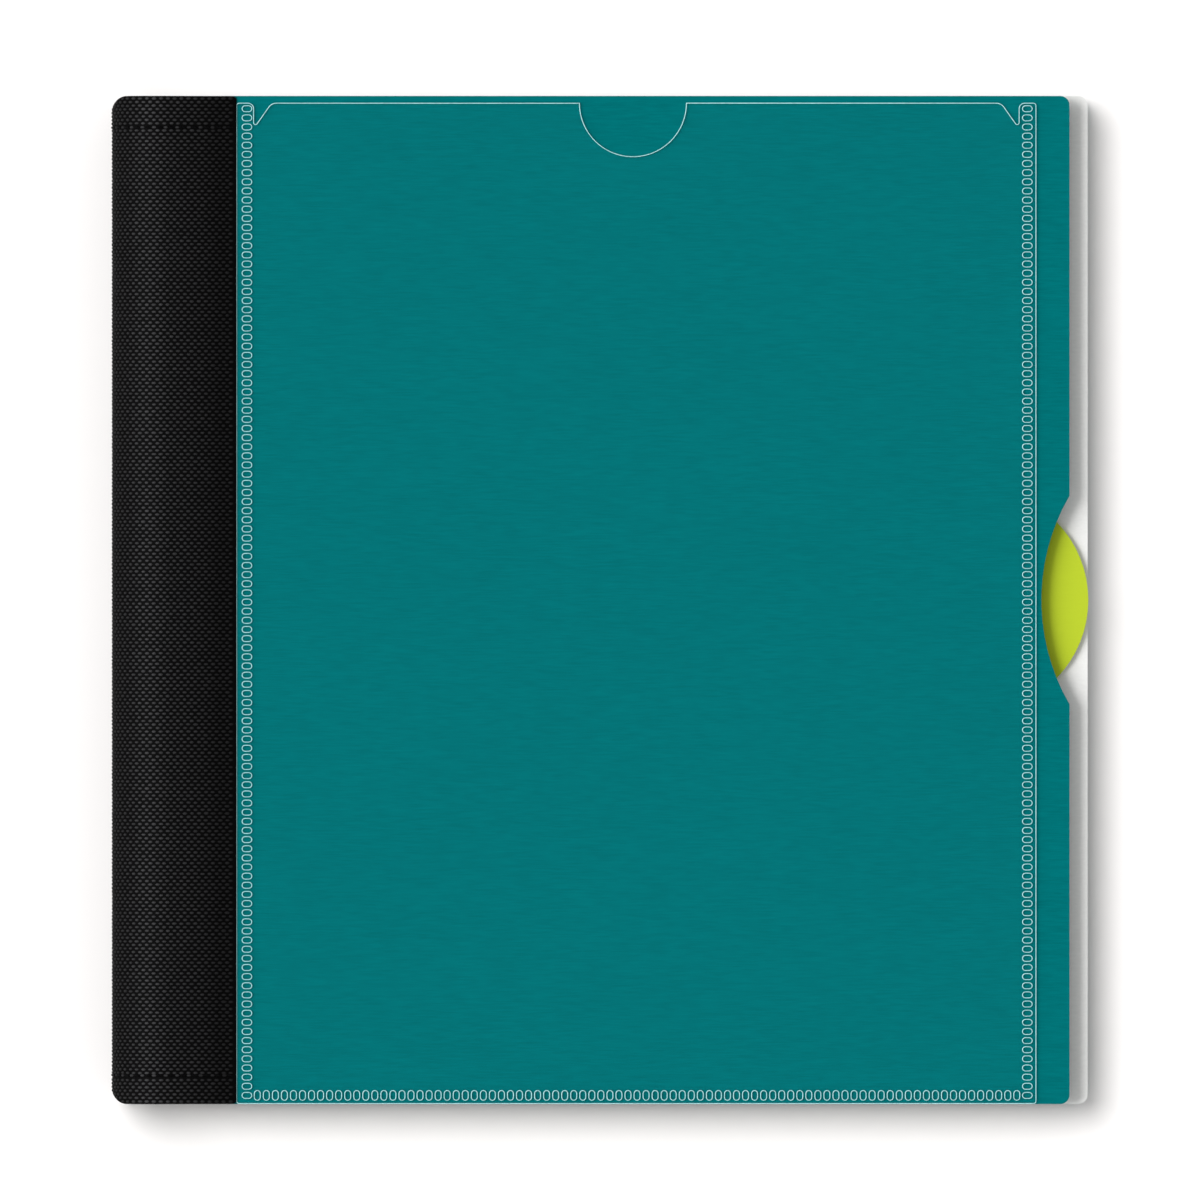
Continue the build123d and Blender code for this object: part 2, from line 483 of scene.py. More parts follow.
@dataclass(frozen=True)
class Finishes:
    """One material of each kind, shared by all pieces."""

    cover: bpy.types.Material = field(
        default_factory=StreakedPoly("teal_poly", (0.0, 0.129, 0.137), contrast=0.17).make
    )
    divider: bpy.types.Material = field(
        default_factory=StreakedPoly("lime_poly", (0.425, 0.53, 0.028), contrast=0.02).make
    )
    film: bpy.types.Material = field(
        default_factory=ClearSheet("pocket_film", (0.01, 0.28, 0.30), cover=0.04, roughness=0.12).make
    )
    strip: bpy.types.Material = field(
        default_factory=ClearSheet("strip_film", (0.74, 0.78, 0.80), 0.07, 0.14, waviness=0.008 * MM).make
    )
    # Real weld marks, and the painted highlight along the pocket's cut edge.
    weld: bpy.types.Material = field(
        default_factory=MeltedFilm("weld_marks", pale=(0.42, 0.72, 0.73), deep=(0.30, 0.58, 0.60)).make
    )
    strip_seam: bpy.types.Material = field(
        default_factory=MeltedFilm("strip_seams", pale=(0.62, 0.66, 0.68), deep=(0.5, 0.55, 0.58)).make
    )
    ground: bpy.types.Material = field(default_factory=WovenGround().make)
    floats: bpy.types.Material = field(default_factory=WovenFloat().make)
    thread: bpy.types.Material = field(default_factory=SewingThread().make)
    card: bpy.types.Material = field(
        default_factory=GrainyCoat(
            "stock_card", (0.80, 0.80, 0.785), (0.95, 1.0), Grain(1400.0, 5.0, (0.4, 1.0, 1.0)), 0.85, 0.1
        ).make
    )
    wire: bpy.types.Material = field(
        default_factory=GrainyCoat(
            "coated_wire", (0.012, 0.012, 0.013), (0.7, 1.3), Grain(2200.0, 2.0), roughness=0.34, gloss=0.4
        ).make
    )
    paper: bpy.types.Material = field(default_factory=StudioPaper().make)


# ---------------------------------------------------------------------------------------------
# Mesh tools

BEAD_SECTION = [(-1.0, 0.0), (-0.8, 0.6), (0.0, 1.0), (0.8, 0.6), (1.0, 0.0)]
"""A bead's section, as shares of its half width and of its height."""

LONGEST_MITRE = 2.0
"""Most that a bead may widen at a sharp corner, as a share of its width."""


def add_mesh(
    name: str, points: Points, faces: Faces, material: bpy.types.Material, smooth: bool = True
) -> bpy.types.Object:
    """Makes a mesh object.

    Args:
        name: The piece's name.
        points: Vertex positions, one row each.
        faces: Vertex indices of each face.
        material: The piece's only material.
        smooth: Whether its faces shade into each other.

    Returns:
        The new object, linked to the scene.
    """
    mesh = bpy.data.meshes.new(name)
    mesh.from_pydata(points.tolist(), [], faces)
    if smooth:
        mesh.shade_smooth()
    mesh.materials.append(material)
    piece = bpy.data.objects.new(name, mesh)
    bpy.context.scene.collection.objects.link(piece)
    return piece


def dress(node: str, material: bpy.types.Material) -> bpy.types.Object:
    """Gives a node of the frame its finish.

    Args:
        node: The node's name.
        material: The finish.

    Returns:
        The node's object.
    """
    piece = frame["nodes"][node]
    piece.data.materials.clear()
    piece.data.materials.append(material)
    return piece


def grid_faces(rows: int, columns: int, first: int = 0, flip: bool = False) -> Faces:
    """Quads over a grid of vertices stored row by row.

    Args:
        rows: Vertex rows.
        columns: Vertices in a row.
        first: Index of the grid's first vertex.
        flip: Whether the faces look the other way.

    Returns:
        The quads.
    """
    quads = []
    for row in range(rows - 1):
        for column in range(columns - 1):
            a = first + row * columns + column
            quad = (a, a + 1, a + columns + 1, a + columns)
            quads.append(quad[::-1] if flip else quad)
    return quads


def rounded_path(corners: list[tuple[float, float, float]], step: float) -> Points:
    """A closed polyline with its corners rounded.

    Args:
        corners: X, Y and corner radius of each corner, in order.
        step: Largest distance between points on an arc.

    Returns:
        The points, one row each.
    """
    count = len(corners)
    path = []
    for i, (x, y, radius) in enumerate(corners):
        here = np.array([x, y])
        if radius == 0:
            path.append(here)
            continue
        before = np.array(corners[i - 1][:2]) - here
        after = np.array(corners[(i + 1) % count][:2]) - here
        before, after = before / np.linalg.norm(before), after / np.linalg.norm(after)
        half = math.acos(np.clip(before @ after, -1, 1)) / 2
        middle = (before + after) / np.linalg.norm(before + after)
        centre = here + middle * radius / math.sin(half)
        start = here + before * radius / math.tan(half) - centre
        end = here + after * radius / math.tan(half) - centre
        turn = math.pi - 2 * half
        pieces = max(2, math.ceil(turn * radius / step))
        for k in range(pieces + 1):
            share = k / pieces
            spoke = start * math.sin((1 - share) * turn) + end * math.sin(share * turn)
            path.append(centre + spoke / math.sin(turn))
    return np.array(path)


def ribbon(path: Points, half_width: float, low: float, high: float) -> tuple[Points, Faces]:
    """A closed bead that follows a closed flat path: a low dome on a flat foot.

    Args:
        path: The bead's centre line, in X and Y.
        half_width: Half the bead's width.
        low: Z of its foot.
        high: Z of its crest.

    Returns:
        Vertices and faces.
    """
    ahead, behind = np.roll(path, -1, axis=0) - path, path - np.roll(path, 1, axis=0)
    ahead /= np.linalg.norm(ahead, axis=1)[:, None]
    behind /= np.linalg.norm(behind, axis=1)[:, None]
    along = ahead + behind
    along /= np.linalg.norm(along, axis=1)[:, None]
    across = np.stack([along[:, 1], -along[:, 0]], axis=1)
    square = (across * np.stack([ahead[:, 1], -ahead[:, 0]], axis=1)).sum(1)
    mitre = 1 / np.clip(square, 1 / LONGEST_MITRE, 1)
    rings = []
    for offset, height in BEAD_SECTION:
        place = path + across * (offset * half_width * mitre)[:, None]
        rings.append(np.column_stack([place, np.full(len(path), low + height * (high - low))]))
    points = np.stack(rings, axis=1).reshape(-1, 3)
    n, m = len(path), len(BEAD_SECTION)
    faces = []
    for i in range(n):
        j = (i + 1) % n
        for k in range(m):
            following = (k + 1) % m
            faces.append((i * m + k, i * m + following, j * m + following, j * m + k))
    return points, faces


def slab(path: Points, low: float, high: float) -> tuple[Points, Faces]:
    """A flat plate with a closed outline that runs anticlockwise.

    Args:
        path: The outline, in X and Y.
        low: Z of its lower face.
        high: Z of its upper face.

    Returns:
        Vertices and faces.
    """
    count = len(path)
    lower = np.column_stack([path, np.full(count, low)])
    upper = np.column_stack([path, np.full(count, high)])
    faces: Faces = [tuple(range(count))[::-1], tuple(range(count, 2 * count))]
    for i in range(count):
        j = (i + 1) % count
        faces.append((i, j, count + j, count + i))
    return np.concatenate([lower, upper]), faces


def join(parts: list[tuple[Points, Faces]]) -> tuple[Points, Faces]:
    """Puts several sets of vertices and faces into one.

    Args:
        parts: Vertices and faces of each part.

    Returns:
        All the vertices, and the faces with their indices moved up.
    """
    points, faces, first = [], [], 0
    for part_points, part_faces in parts:
        points.append(part_points)
        faces += [tuple(first + i for i in face) for face in part_faces]
        first += len(part_points)
    return np.concatenate(points), faces


def copies(points: Points, faces: Faces, places: Points) -> tuple[Points, Faces]:
    """Repeats one shape at many places.

    Args:
        points: The shape's vertices.
        faces: The shape's faces.
        places: One row of X, Y and Z for each copy.

    Returns:
        Vertices and faces of all the copies.
    """
    all_points = (places[:, None, :] + points[None, :, :]).reshape(-1, 3)
    shape = len(points)
    all_faces = [tuple(k * shape + i for i in face) for k in range(len(places)) for face in faces]
    return all_points, all_faces


# ---------------------------------------------------------------------------------------------
# The woven sleeve


@dataclass
class SleeveSection:
    """The sleeve's outer face in the XZ plane, followed from the front band's edge to the back's."""

    axis_x: float
    axis_z: float
    band_edge: float
    band_rise: float
    flare_radius: float = 39.2 * MM

    def __post_init__(self) -> None:
        """Works out where the flat band, the hollow bend and the round part meet."""
        self.radius = self.axis_z
        reach = self.radius + self.flare_radius
        self.flare_z = self.band_rise + self.flare_radius
        self.flare_x = math.sqrt(reach**2 - self.flare_z**2)
        self.lean = math.atan2(self.flare_x, self.flare_z)
        self.flat_length = self.band_edge - self.axis_x - self.flare_x
        self.flare_length = self.flare_radius * self.lean
        self.round_length = self.radius * (math.pi + 2 * self.lean)
        self.length = 2 * (self.flat_length + self.flare_length) + self.round_length
        self.left = self.axis_x - self.radius

    def at(self, along: Points) -> tuple[Points, Points]:
        """Points of the outer face and its outward normals.

        Args:
            along: Lengths from the front band's edge.

        Returns:
            X and Z of each point, and of each normal.
        """
        side = np.where(along <= self.length / 2, 1.0, -1.0)
        near = np.where(along <= self.length / 2, along, self.length - along)
        bend = np.clip((near - self.flat_length) / self.flare_radius, 0, self.lean)
        turned = np.maximum(near - self.flat_length - self.flare_length, 0) / self.radius
        spoke = math.pi / 2 - self.lean + turned
        on_round = near > self.flat_length + self.flare_length
        on_flat = near < self.flat_length
        x = self.flare_x - self.flare_radius * np.sin(bend)
        x = np.where(on_flat, self.flare_x + self.flat_length - near, x)
        z = self.flare_z - self.flare_radius * np.cos(bend)
        x = np.where(on_round, self.radius * np.cos(spoke), x)
        z = np.where(on_round, self.radius * np.sin(spoke), z)
        normal_x = np.where(on_round, np.cos(spoke), np.sin(bend))
        normal_z = np.where(on_round, np.sin(spoke), np.cos(bend))
        place = np.stack([self.axis_x + x, self.axis_z + side * z], axis=-1)
        return place, np.stack([normal_x, side * normal_z], axis=-1)


@dataclass
class SpineSleeve:
    """Woven fabric round the wire, bonded to both covers and hemmed at head and tail."""

    finishes: Finishes
    thickness: float = 0.8 * MM
    sink: float = 0.05 * MM
    float_rise: float = 0.22 * MM
    float_seat: float = 0.35
    float_half: tuple[float, float] = (0.84 * MM, 0.47 * MM)
    pitch_along: float = 2.05 * MM
    row_pitch: float = 1.03 * MM
    corner_radius: float = 4.0 * MM
    band_corner: float = 1.3 * MM
    edge_round: float = 0.45 * MM
    hem_depth: dict[End, float] = field(default_factory=lambda: {End.HEAD: 9.1 * MM, End.TAIL: 8.3 * MM})
    hem_rise: float = 0.06 * MM
    hem_step: float = 1.0 * MM
    edge_columns: tuple[float, ...] = (0.0, 0.1 * MM, 0.25 * MM, 0.45 * MM, 0.8 * MM)
    hem_row: float = 0.42 * MM
    plain_row: float = 2.2 * MM
    hem_margin: float = 2.5 * MM
    least_row: float = 0.5 * MM
    first_float: float = 0.3
    float_spread: tuple[float, float] = (0.04 * MM, 0.025 * MM)
    float_size_spread: float = 0.06
    float_rise_spread: float = 0.08
    float_spokes: int = 6
    # Each ring: share of the float's half size, its height, and its painted crown light, from painted shade
    # at the foot to painted highlight at the crown.
    float_rings: tuple[tuple[float, float, float], ...] = (
        (1.0, -0.35, 0.0), (0.86, 0.35, 0.2), (0.58, 0.85, 0.85),
    )
    # Taller floats get a painted highlight, within this range.
    float_rise_highlight_range: tuple[float, float] = (0.8, 1.2)
    bare_edge: tuple[float, float] = (0.75 * MM, 0.5 * MM)
    stitch_pitch: float = 3.45 * MM
    stitch_length: float = 2.1 * MM
    stitch_radius: float = 0.3 * MM
    stitch_tilt: tuple[float, float] = (0.16, 0.04)
    stitch_arch: tuple[float, float] = (0.25, 1.4)
    stitch_taper: float = 0.9
    stitch_rings: int = 9
    stitch_sides: int = 6
    stitch_groove: float = 0.16 * MM
    groove_reach: float = 0.45 * MM
    pucker: float = 0.12 * MM
    pucker_reach: float = 1.3 * MM
    # Painted light along the sleeve, by distance from a band's edge: painted highlight on the round of the
    # spine, painted shade on the bands and the back of the spine.
    painted_light_levels: tuple[tuple[float, float], ...] = (
        (5.0 * MM, 0.18), (13.8 * MM, 0.56), (22.0 * MM, 1.0), (26.0 * MM, 1.0),
        (32.0 * MM, 0.36), (36.0 * MM, 0.19), (43.4 * MM, 0.15),
    )
    seed: int = 7

    def __post_init__(self) -> None:
        """Takes the sleeve's place from the frame."""
        low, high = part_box("spine_fabric_front")
        hinge = frame["joints"][0]["pos_m"]
        self.section = SleeveSection(hinge[0], hinge[2], high.x, low.z + self.thickness - hinge[2])
        self.half_height = high.y
        self.random = np.random.default_rng(self.seed)

    def reach(self, along: Points) -> Points:
        """How far the fabric runs from the album's middle towards head and tail.

        Args:
            along: Lengths from the front band's edge.

        Returns:
            The half height of the fabric there, with its corners rounded.
        """
        place, _ = self.section.at(along)
        inward = np.clip(place[..., 0] - self.section.left, 0, self.corner_radius)
        outer = self.corner_radius - np.sqrt(self.corner_radius**2 - (self.corner_radius - inward) ** 2)
        from_edge = np.minimum(along, self.section.length - along)
        inward = np.clip(from_edge, 0, self.band_corner)
        inner = self.band_corner - np.sqrt(self.band_corner**2 - (self.band_corner - inward) ** 2)
        return self.half_height - outer - inner

    def relief(self, along: Points, y: Points) -> Points:
        """Height of the fabric's face over the plain section.

        Args:
            along: Lengths from the front band's edge.
            y: Places along the spine.

        Returns:
            The height, below zero at edges and stitches.
        """
        to_end = np.maximum(self.reach(along) - np.abs(y), 0)
        to_band = np.minimum(along, self.section.length - along)
        margin = np.clip(np.minimum(to_end, to_band), 0, self.edge_round)
        height = np.sqrt(self.edge_round**2 - (self.edge_round - margin) ** 2) - self.edge_round
        for end, depth in self.hem_depth.items():
            off = y * end.value - (self.half_height - depth)
            height = height + self.hem_rise * np.clip(off / self.hem_step, 0, 1)
            pull = 0.5 - 0.5 * np.cos(2 * math.pi * along / self.stitch_pitch)
            height = height - self.stitch_groove * pull * np.exp(-((off / self.groove_reach) ** 2))
            height = height + self.pucker * (pull - 0.5) * np.exp(-((off / self.pucker_reach) ** 2))
        return height

    def surface(self, along: Points, y: Points, lift: Points | float) -> Points:
        """Points on, over or under the fabric's face.

        Args:
            along: Lengths from the front band's edge.
            y: Places along the spine.
            lift: Height over the face.

        Returns:
            The points, one row each.
        """
        place, normal = self.section.at(along)
        height = (self.relief(along, y) + lift - self.sink)[..., None]
        flat = place + normal * height
        return np.stack([flat[..., 0], np.broadcast_to(y, along.shape), flat[..., 1]], axis=-1)

    def lengths(self, side: Side) -> Points:
        """Where the cloth's grid has its columns, on one half of the sleeve."""
        edge = np.array(self.edge_columns)
        middle = self.section.length / 2
        steps = round((middle - edge[-1]) / (self.stitch_pitch / 4))
        inner = np.linspace(edge[-1], middle, steps + 1)[1:]
        columns = np.concatenate([edge, inner])
        return columns if side is Side.FRONT else self.section.length - columns[::-1]

    def rows(self) -> Points:
        """Where the cloth's grid has its rows, as shares of its half height."""
        edge = np.array(self.edge_columns)
        depth = max(self.hem_depth.values()) + self.hem_margin
        hem = np.arange(edge[-1], depth, self.hem_row)[1:]
        plain = np.arange(depth, self.half_height, self.plain_row)
        outer = self.half_height - np.concatenate([edge, hem, plain])
        outer = outer[outer > self.least_row] / self.half_height
        return np.concatenate([-outer, [0.0], outer[::-1]])

    def cloth(self, side: Side) -> bpy.types.Object:
        """One half of the cloth, from a band to the middle of the spine, as a closed sheet.

        Args:
            side: Which half.

        Returns:
            The piece.
        """
        columns, rows = self.lengths(side), self.rows()
        along, share = np.meshgrid(columns, rows, indexing="ij")
        y = share * self.reach(along)
        outer = self.surface(along, y, -self.float_rise * self.float_seat).reshape(-1, 3)
        place, normal = self.section.at(along)
        under = place - normal * self.thickness
        inner = np.stack([under[..., 0], y, under[..., 1]], axis=-1).reshape(-1, 3)
        n, m = along.shape
        faces = grid_faces(n, m, flip=True) + grid_faces(n, m, first=n * m)
        rim = [i * m for i in range(n)]
        rim += [(n - 1) * m + j for j in range(1, m)]
        rim += [i * m + m - 1 for i in range(n - 2, -1, -1)]
        rim += [j for j in range(m - 2, 0, -1)]
        for a, b in zip(rim, rim[1:] + rim[:1]):
            faces.append((a, a + n * m, b + n * m, b)[::-1])
        piece = add_mesh(
            f"sleeve_cloth_{side.word}", np.concatenate([outer, inner]), faces, self.finishes.ground
        )
        # Painted light along the sleeve, for the ground's finish.
        self.mark(piece, "wear", np.tile(self.wear(along).ravel(), 2))
        return piece

    def mark(self, piece: bpy.types.Object, name: str, levels: Points) -> None:
        """Stores a level at each vertex for the piece's finish."""
        stored = piece.data.attributes.new(name, "FLOAT", "POINT")
        stored.data.foreach_set("value", levels.astype(np.float32).ravel())

    def float_places(self, side: Side) -> tuple[Points, Points]:
        """Where the weave's floats lie on one half, staggered row by row.

        Args:
            side: Which half.

        Returns:
            The floats' lengths from the front band's edge, and their places along the spine.
        """
        row_count = int(self.half_height / self.row_pitch)
        row = np.arange(-row_count, row_count + 1)
        column = np.arange(0, int(self.section.length / self.pitch_along) + 1)
        row, column = np.meshgrid(row, column, indexing="ij")
        along = ((column + 0.5 * (row % 2) + self.first_float) * self.pitch_along).ravel()
        y = (row * self.row_pitch).ravel()
        along = along + self.random.normal(0, self.float_spread[0], len(along))
        y = y + self.random.normal(0, self.float_spread[1], len(y))
        middle = self.section.length / 2
        keep = along < middle if side is Side.FRONT else along >= middle
        keep &= np.minimum(along, self.section.length - along) > self.bare_edge[0]
        keep &= self.reach(along) - np.abs(y) > self.bare_edge[1]
        gaps = np.arange(1, int(self.section.length / self.stitch_pitch)) * self.stitch_pitch
        gaps = gaps[gaps < middle] if side is Side.FRONT else gaps[gaps >= middle]
        lines = [end.value * (self.half_height - depth) for end, depth in self.hem_depth.items()]
        for line in lines:
            keep &= np.abs(y - line) > 0.5 * self.row_pitch
        along, y = along[keep], y[keep]
        for line in lines:
            along = np.concatenate([along, gaps])
            y = np.concatenate([y, np.full(len(gaps), line)])
        return along, y

    def wear(self, along: Points) -> Points:
        """Painted light along the sleeve: a painted highlight on the round of the spine, and painted shade
        on the bands and the back of the spine.
        """
        near = np.minimum(along, self.section.length - along)
        places, levels = zip(*self.painted_light_levels)
        return np.interp(near, places, levels)

    def floats(self, side: Side) -> bpy.types.Object:
        """The raised threads of one half, each a small oval dome.

        Args:
            side: Which half.

        Returns:
            The piece.
        """
        along, y = self.float_places(side)
        count = len(along)
        grow = self.random.normal(1.0, self.float_size_spread, (count, 2))
        rise = self.random.normal(1.0, self.float_rise_spread, count)
        spokes = self.float_spokes
        turn = np.arange(spokes) * 2 * math.pi / spokes
        all_along, all_y = [along[:, None]], [y[:, None]]
        lift, crown = [rise[:, None]], [np.ones((count, 1))]
        for radius, height, pale in self.float_rings:
            all_along.append(along[:, None] + radius * self.float_half[0] * grow[:, :1] * np.cos(turn))
            all_y.append(y[:, None] + radius * self.float_half[1] * grow[:, 1:] * np.sin(turn))
            lift.append(np.repeat((rise * height)[:, None], spokes, axis=1))
            crown.append(np.full((count, spokes), pale))
        all_along, all_y = np.concatenate(all_along, 1), np.concatenate(all_y, 1)
        lift, crown = np.concatenate(lift, 1), np.concatenate(crown, 1)
        all_along = np.clip(all_along, 0, self.section.length)
        points = self.surface(all_along, all_y, (lift - self.float_seat) * self.float_rise).reshape(-1, 3)
        shape: Faces = []
        for k in range(spokes):
            following = (k + 1) % spokes
            outer, middle, inner = 1, 1 + spokes, 1 + 2 * spokes
            shape.append((0, inner + k, inner + following))
            shape.append((inner + k, middle + k, middle + following, inner + following))
            shape.append((middle + k, outer + k, outer + following, middle + following))
        size = 1 + spokes * len(self.float_rings)
        faces = [tuple(i * size + v for v in face) for i in range(count) for face in shape]
        if side is Side.FRONT:
            faces = [face[::-1] for face in faces]
        piece = add_mesh(f"sleeve_weave_{side.word}", points, faces, self.finishes.floats)
        # Painted highlight on each float's crown and painted shade at its feet, times the painted light
        # along the sleeve, lighter on taller floats.
        pale = crown * self.wear(along)[:, None] * np.clip(rise, *self.float_rise_highlight_range)[:, None]
        self.mark(piece, "crown", pale)
        return piece

    def stitches(self, side: Side) -> bpy.types.Object:
        """The hem's running stitches on one half, at head and tail.

        Args:
            side: Which half.

        Returns:
            The piece.
        """
        middle = self.section.length / 2
        first, last = (0, middle) if side is Side.FRONT else (middle, self.section.length)
        centres = np.arange(0.5, self.section.length / self.stitch_pitch) * self.stitch_pitch
        centres = centres[(centres > first) & (centres <= last) & (centres < self.section.length - MM)]
        steps, sides = self.stitch_rings, self.stitch_sides
        share = np.linspace(-1, 1, steps)
        turn = np.arange(sides) * 2 * math.pi / sides
        parts = []
        for end, depth in self.hem_depth.items():
            line = end.value * (self.half_height - depth)
            for centre in centres:
                tilt = self.random.normal(*self.stitch_tilt) * MM
                girth = self.stitch_radius * np.sqrt(1 - self.stitch_taper * share**4)
                along = centre + share[:, None] * self.stitch_length / 2 + 0 * turn
                y = line + share[:, None] * tilt + girth[:, None] * np.cos(turn)
                arch = self.stitch_radius * (self.stitch_arch[0] - self.stitch_arch[1] * share**4)
                lift = arch[:, None] + girth[:, None] * np.sin(turn)
                points = self.surface(along, y, lift).reshape(-1, 3)
                faces = grid_faces(steps, sides)
                faces += [
                    (i * sides + sides - 1, i * sides, (i + 1) * sides, (i + 1) * sides + sides - 1)
                    for i in range(steps - 1)
                ]
                faces.append(tuple(range(sides))[::-1])
                faces.append(tuple((steps - 1) * sides + k for k in range(sides)))
                parts.append((points, faces))
        return add_mesh(f"hem_stitches_{side.word}", *join(parts), self.finishes.thread)

    def bend(self, piece: bpy.types.Object, side: Side) -> None:
        """Bakes a piece of the sleeve's placement into its mesh.

        Args:
            piece: The piece, with its mesh final.
            side: The half that it lies on; not used.
        """
        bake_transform(piece)

    def build(self) -> None:
        for side in Side:
            cloth, weave, stitches = self.cloth(side), self.floats(side), self.stitches(side)
            for piece in (cloth, weave, stitches):
                self.bend(piece, side)
                LOG.info("%s: %d faces", piece.name, len(piece.data.polygons))
            if side is Side.FRONT:
                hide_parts("spine_fabric_front", "spine_fabric_wrap")
            else:
                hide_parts("spine_fabric_back")


# ---------------------------------------------------------------------------------------------
# Covers, pocket, divider, leaves and wire


@dataclass
class Covers:
    """The two poly covers."""

    finishes: Finishes

    def build(self) -> None:
        """Dresses both covers."""
        for node in ("front_cover", "back_cover"):
            dress(node, self.finishes.cover)
            LOG.info("%s dressed", node)


@dataclass
class ClearPocket:
    """Clear film on the front cover, with its die-cut edge and its rows of oval weld marks."""

    finishes: Finishes
    film_thickness: float = 0.2 * MM
    line_width: float = 0.24 * MM
    bead_rise: float = 0.07 * MM
    bead_foot: float = 0.1 * MM
    spine_press: float = 0.2 * MM
    spine_share: float = 0.5
    ring_wide: float = 3.08 * MM
    ring_tall: float = 1.97 * MM
    ring_steps: int = 7
    side_pitch: float = 2.648 * MM
    tail_pitch: float = 2.616 * MM
    side_inset: tuple[float, float] = (2.95 * MM, 2.5 * MM)
    tail_inset: float = 2.35 * MM
    head_inset: float = 1.6 * MM
    tail_side_inset: tuple[float, float] = (5.95 * MM, 5.55 * MM)
    corner: float = 0.7 * MM
    weld_band: float = 4.87 * MM
    relief_depth: float = 6.2 * MM
    relief_root: float = 0.86 * MM
    relief_mouth: float = 5.23 * MM
    root_radius: float = 0.55 * MM
    shoulder_radius: float = 1.6 * MM
    slope_radius: float = 2.6 * MM
    thumb_radius: float = 15.5 * MM
    thumb_offset: float = -1.0 * MM
    thumb_steps: int = 40
    corner_step: float = 0.4 * MM

    def __post_init__(self) -> None:
        """Takes the film's place from the frame."""
        self.low, self.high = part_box("front_pocket_film")

    def outline(self) -> Points:
        """The film's die-cut outline, as a closed line."""
        left, right, bottom, top = self.low.x, self.high.x, self.low.y, self.high.y
        root_low = top - self.relief_depth
        band = self.weld_band
        root = band + self.relief_root
        mouth = band + self.relief_mouth
        middle = (left + right) / 2 + self.thumb_offset
        turns = np.linspace(0, -math.pi, self.thumb_steps)
        cut = self.thumb_radius
        notch = [(middle + cut * math.cos(a), top + cut * math.sin(a), 0.0) for a in turns]
        corners = [
            (left, bottom, self.corner),
            (right, bottom, self.corner),
            (right, top, self.corner),
            (right - band, top, self.shoulder_radius),
            (right - band, root_low, self.root_radius),
            (right - root, root_low, self.root_radius),
            (right - mouth, top, self.slope_radius),
            *notch,
            (left + mouth, top, self.slope_radius),
            (left + root, root_low, self.root_radius),
            (left + band, root_low, self.root_radius),
            (left + band, top, self.shoulder_radius),
            (left, top, self.corner),
        ]
        return rounded_path(corners, self.corner_step)

    def film(self) -> bpy.types.Object:
        """The film itself, held just off the cover."""
        points, faces = slab(self.outline(), self.high.z - self.film_thickness, self.high.z)
        return add_mesh("pocket_sheet", points, faces, self.finishes.film, smooth=False)

    def line(self, path: Points) -> tuple[Points, Faces]:
        """A raised pale line on the film, along a closed path."""
        face = self.high.z
        return ribbon(path, self.line_width / 2, face - self.bead_foot, face + self.bead_rise)

    def edge(self) -> bpy.types.Object:
        """The cut edge, drawn pale as a painted highlight along the edge, and partly under the fabric
        beside the spine.
        """
        points, faces = self.line(self.outline())
        beside_spine = points[:, 0] < self.low.x + self.line_width
        points[beside_spine, 0] -= (points[beside_spine, 0] - self.low.x) * (1 - self.spine_share)
        points[beside_spine, 2] -= self.spine_press
        return add_mesh("pocket_cut_edge", points, faces, self.finishes.weld)

    def ring(self, upright: bool) -> tuple[Points, Faces]:
        """One oval weld mark about the origin.

        Args:
            upright: Whether its long side runs along Y.

        Returns:
            Vertices and faces.
        """
        half = self.ring_tall / 2 - self.line_width / 2
        straight = (self.ring_wide - self.ring_tall) / 2
        turns = np.linspace(-math.pi / 2, math.pi / 2, self.ring_steps)
        right = np.column_stack([straight + half * np.cos(turns), half * np.sin(turns)])
        path = np.concatenate([right, -right])
        if upright:
            path = np.column_stack([-path[:, 1], path[:, 0]])
        return self.line(path)

    def ring_places(self) -> tuple[Points, Points]:
        """Centres of the side rows' marks and of the tail row's marks."""
        first_y = self.high.y - self.head_inset
        last_y = self.low.y + self.tail_inset
        count = round((first_y - last_y) / self.side_pitch) + 1
        ys = np.linspace(first_y, last_y, count)
        sides = [
            np.column_stack([np.full(count, x), ys, np.zeros(count)])
            for x in (self.low.x + self.side_inset[0], self.high.x - self.side_inset[1])
        ]
        first_x = self.low.x + self.tail_side_inset[0]
        last_x = self.high.x - self.tail_side_inset[1]
        count = round((last_x - first_x) / self.tail_pitch) + 1
        xs = np.linspace(first_x, last_x, count)
        tail = np.column_stack([xs, np.full(count, last_y), np.zeros(count)])
        return np.concatenate(sides), tail

    def build(self) -> None:
        """Dresses the film and adds its edge and weld marks."""
        film = self.film()
        side_places, tail_places = self.ring_places()
        side_marks = copies(*self.ring(upright=False), side_places)
        tail_marks = copies(*self.ring(upright=True), tail_places)
        marks = [
            add_mesh("pocket_side_welds", *side_marks, self.finishes.weld),
            add_mesh("pocket_tail_welds", *tail_marks, self.finishes.weld),
            self.edge(),
        ]
        for piece in [film, *marks]:
            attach(piece, Body.FRONT.value)
            LOG.info("%s: %d faces", piece.name, len(piece.data.polygons))
        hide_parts("front_pocket_film")


@dataclass
class IndexDivider:
    """The lime divider with its round tab."""

    finishes: Finishes

    def build(self) -> None:
        """Dresses the divider."""
        dress("index_divider", self.finishes.divider)
        LOG.info("index_divider dressed")


